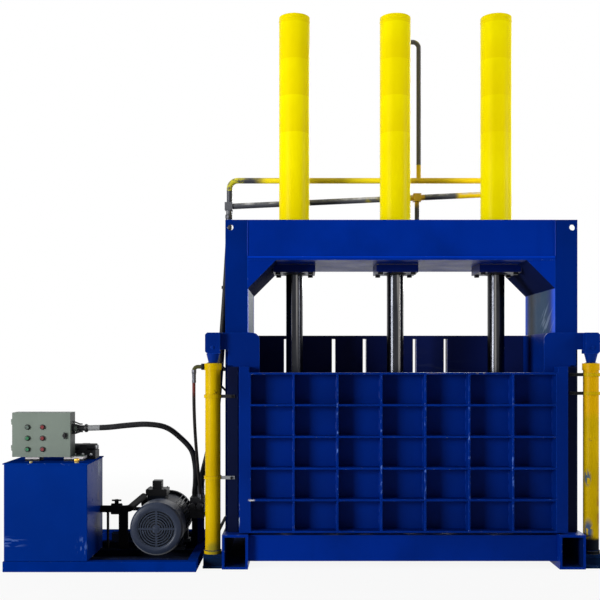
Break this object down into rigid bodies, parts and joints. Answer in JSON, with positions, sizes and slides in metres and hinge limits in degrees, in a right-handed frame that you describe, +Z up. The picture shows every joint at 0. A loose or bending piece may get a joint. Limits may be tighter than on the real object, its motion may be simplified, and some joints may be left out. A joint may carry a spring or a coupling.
{
  "type": "recycling baler",
  "caption": "Vertical hydraulic baler: portal frame with press cylinders, a platen, a ribbed front gate lifted by side cylinders, and a power unit with control box",
  "frame": {"origin": "on the floor, at the middle of the four anchor bolts of the press", "axes": "+X to the operator's right, +Y to the back, +Z up; the gate and the control box face -Y"},
  "size_m": [3.919, 1.196, 3.81],
  "materials": {
    "blue_paint": "gloss, scuffed",
    "dark_blue_paint": "worn satin",
    "yellow_paint": "gloss",
    "grey_paint": "satin",
    "motor_paint": "satin",
    "black_paint": "satin",
    "zinc_steel": "dull zinc",
    "wear_steel": "worn bare steel",
    "chrome": "polished hard chrome",
    "cast_iron": "dark",
    "hose_rubber": "matte",
    "cable_sleeve": "ribbed sleeve",
    "brass": "dull",
    "black_plastic": "moulded",
    "green_plastic": "moulded",
    "red_plastic": "moulded"
  },
  "bodies": {
    "frame": {"base_frame": "blue_paint", "left_column": "blue_paint", "right_column": "blue_paint", "top_beam": "blue_paint", "side_walls": "blue_paint", "back_wall": "blue_paint", "skid": "blue_paint", "oil_tank": "blue_paint", "tank_lid": "blue_paint", "lift_brackets": "blue_paint", "gate_guides": "dark_blue_paint", "left_press_cylinder": "yellow_paint", "centre_press_cylinder": "yellow_paint", "right_press_cylinder": "yellow_paint", "left_lift_cylinder": "yellow_paint", "right_lift_cylinder": "yellow_paint", "pressure_pipe": "yellow_paint", "return_pipe": "yellow_paint", "control_box": "grey_paint", "motor_frame": "motor_paint", "motor_fan_cowl": "motor_paint", "bell_housing": "motor_paint", "lift_feed_pipe": "black_paint", "suction_pipe": "black_paint", "oil_lines": "black_paint", "hose_clamps": "black_paint", "motor_terminal_box": "black_paint", "lift_clamps": "zinc_steel", "cylinder_flange_bolts": "zinc_steel", "bed_planks": "wear_steel", "valve_block": "cast_iron", "hose_manifold": "cast_iron", "pump": "cast_iron", "pressure_hose": "hose_rubber", "return_hose": "hose_rubber", "lift_hose": "hose_rubber", "control_cable": "cable_sleeve"},
    "platen": {"platen": "blue_paint", "platen_shoes": "wear_steel", "left_press_rod": "chrome", "centre_press_rod": "chrome", "right_press_rod": "chrome"},
    "gate": {"gate_plate": "blue_paint", "gate_rib_grid": "blue_paint", "left_lift_ear": "blue_paint", "right_lift_ear": "blue_paint", "lift_rods": "chrome"},
    "control_door": {"control_door": "grey_paint"},
    "door_lock": {"door_lock": "black_plastic"},
    "rotor": {"motor_shaft": "wear_steel", "motor_fan": "black_plastic", "pump_coupling": "wear_steel"},
    "suction_handle": {"suction_handle": "black_paint"},
    "filler_cap": {"filler_cap": "brass"},
    "start_button_1": {"start_button_1": "green_plastic"},
    "start_button_2": {"start_button_2": "green_plastic"},
    "start_button_3": {"start_button_3": "green_plastic"},
    "stop_button_1": {"stop_button_1": "red_plastic"},
    "stop_button_2": {"stop_button_2": "red_plastic"},
    "stop_button_3": {"stop_button_3": "red_plastic"}
  },
  "joints": [
    {"name": "platen_press", "type": "slide", "parent": "frame", "child": "platen", "axis": [0, 0, 1], "range_m": [-0.49, 0.72]},
    {"name": "gate_lift", "type": "slide", "parent": "frame", "child": "gate", "axis": [0, 0, 1], "range_m": [0, 0.85]},
    {"name": "control_door_hinge", "type": "hinge", "parent": "frame", "child": "control_door", "pos_m": [-2.582, -0.4815, 0.877], "axis": [0, 0, -1], "range_deg": [0, 110]},
    {"name": "door_lock_turn", "type": "hinge", "parent": "control_door", "child": "door_lock", "pos_m": [-2.228, -0.5, 0.872], "axis": [0, -1, 0], "range_deg": [0, 90]},
    {"name": "rotor_spin", "type": "hinge", "parent": "frame", "child": "rotor", "pos_m": [-1.635, 0, 0.247], "axis": [0, 1, 0], "continuous": true},
    {"name": "suction_handle_turn", "type": "hinge", "parent": "frame", "child": "suction_handle", "pos_m": [-1.945, -0.22, 0.395], "axis": [0, 0, 1], "range_deg": [0, 90]},
    {"name": "filler_cap_turn", "type": "hinge", "parent": "frame", "child": "filler_cap", "pos_m": [-2.128, -0.588, 0.71], "axis": [0, 0, 1], "range_deg": [0, 90]},
    {"name": "start_button_1_push", "type": "slide", "parent": "control_door", "child": "start_button_1", "axis": [0, 1, 0], "range_m": [0, 0.004], "stiffness_N_per_m": 700, "springref_m": -0.001},
    {"name": "start_button_2_push", "type": "slide", "parent": "control_door", "child": "start_button_2", "axis": [0, 1, 0], "range_m": [0, 0.004], "stiffness_N_per_m": 700, "springref_m": -0.001},
    {"name": "start_button_3_push", "type": "slide", "parent": "control_door", "child": "start_button_3", "axis": [0, 1, 0], "range_m": [0, 0.004], "stiffness_N_per_m": 700, "springref_m": -0.001},
    {"name": "stop_button_1_push", "type": "slide", "parent": "control_door", "child": "stop_button_1", "axis": [0, 1, 0], "range_m": [0, 0.004], "stiffness_N_per_m": 700, "springref_m": -0.001},
    {"name": "stop_button_2_push", "type": "slide", "parent": "control_door", "child": "stop_button_2", "axis": [0, 1, 0], "range_m": [0, 0.004], "stiffness_N_per_m": 700, "springref_m": -0.001},
    {"name": "stop_button_3_push", "type": "slide", "parent": "control_door", "child": "stop_button_3", "axis": [0, 1, 0], "range_m": [0, 0.004], "stiffness_N_per_m": 700, "springref_m": -0.001}
  ]
}
